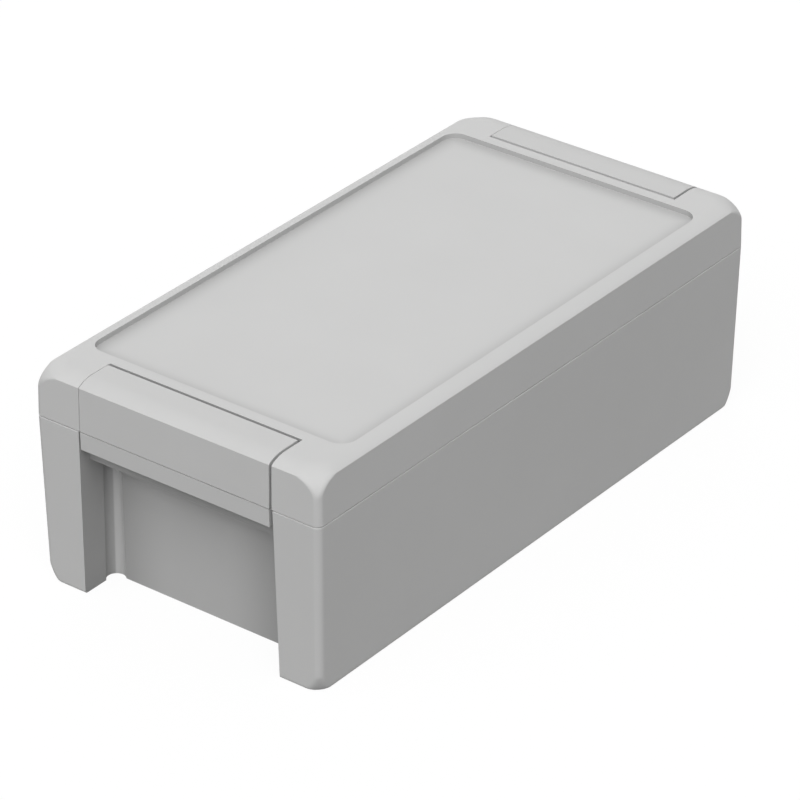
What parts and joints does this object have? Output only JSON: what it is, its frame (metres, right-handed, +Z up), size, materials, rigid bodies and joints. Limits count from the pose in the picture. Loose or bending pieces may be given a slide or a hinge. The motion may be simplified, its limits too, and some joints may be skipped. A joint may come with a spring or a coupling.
{
  "type": "aluminium enclosure",
  "caption": "Rectangular die-cast aluminium enclosure with a lift-off lid, a sunk top panel, folding end covers and an open recess at each end.",
  "frame": {"origin": "centre of the underside", "axes": "+X across the case, +Y along the case from the front end cover to the back one, +Z up through the lid"},
  "size_m": [0.09, 0.182, 0.0622],
  "materials": {
    "cast_coat": "matte light grey powder coat",
    "cover_plastic": "fine matte light grey",
    "screw_steel": "plain stainless",
    "seal": "matte black"
  },
  "bodies": {
    "base": {"base_tub": "cast_coat"},
    "lid": {"lid": "cast_coat", "lid_gasket": "seal", "lid_screws": "screw_steel", "front_cover_skirt": "cover_plastic", "back_cover_skirt": "cover_plastic"},
    "front_flap": {"front_cover_flap": "cover_plastic"},
    "back_flap": {"back_cover_flap": "cover_plastic"}
  },
  "joints": [
    {"name": "lid_lift", "type": "slide", "parent": "base", "child": "lid", "axis": [0, 0, 1], "range_m": [0, 0.08]},
    {"name": "front_flap_fold", "type": "hinge", "parent": "lid", "child": "front_flap", "pos_m": [0, -0.091, 0.0482], "axis": [1, 0, 0], "range_deg": [0, 110]},
    {"name": "back_flap_fold", "type": "hinge", "parent": "lid", "child": "back_flap", "pos_m": [0, 0.091, 0.0482], "axis": [-1, 0, 0], "range_deg": [0, 110]}
  ]
}
